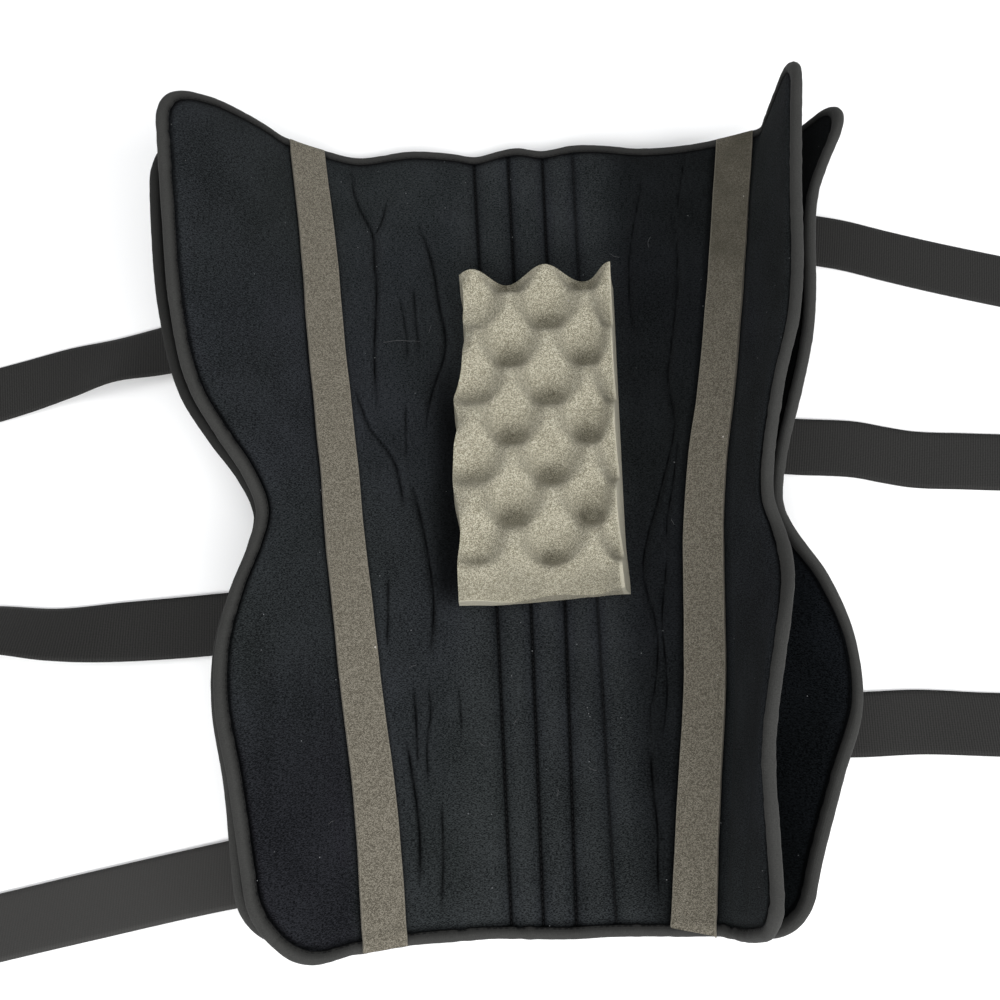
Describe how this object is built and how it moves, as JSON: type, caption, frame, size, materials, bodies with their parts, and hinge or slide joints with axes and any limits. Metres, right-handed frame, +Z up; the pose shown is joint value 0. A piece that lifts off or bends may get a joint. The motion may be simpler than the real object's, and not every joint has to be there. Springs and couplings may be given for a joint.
{
  "type": "knee immobilizer",
  "caption": "Padded wrap splint that holds a leg straight: contoured foam-laminate panels laid open, with grip strips, an egg-crate pad behind the knee and webbing straps.",
  "frame": {"origin": "middle of the flat stretch of the back's underside, on the surface that it lies on", "axes": "+X to the right across the brace, +Y along the leg towards the thigh end, +Z up off the surface"},
  "size_m": [0.9575, 0.5477, 0.1101],
  "materials": {
    "lining": "brushed knit laminated to foam",
    "shell_fabric": "brushed loop knit",
    "binding_tape": "matte folded tape",
    "grip_foam": "matte foam strip",
    "pad_foam": "open-cell egg-crate foam",
    "webbing": "ribbed webbing",
    "hook_tab": "hook pile"
  },
  "bodies": {
    "root": {"liner_panel": "lining", "liner_binding": "binding_tape", "side_panel_left_binding": "binding_tape", "side_panel_right_binding": "binding_tape", "side_panel_left": "shell_fabric", "side_panel_right": "shell_fabric", "grip_strip_left": "grip_foam", "grip_strip_right": "grip_foam", "popliteal_pad": "pad_foam", "strap_left_upper": "webbing", "strap_left_middle": "webbing", "strap_left_lower": "webbing", "strap_right_upper": "webbing", "strap_right_middle": "webbing", "strap_right_lower": "webbing", "strap_left_upper_tab": "hook_tab", "strap_left_middle_tab": "hook_tab", "strap_left_lower_tab": "hook_tab", "strap_right_upper_tab": "hook_tab", "strap_right_middle_tab": "hook_tab", "strap_right_lower_tab": "hook_tab"}
  },
  "joints": []
}
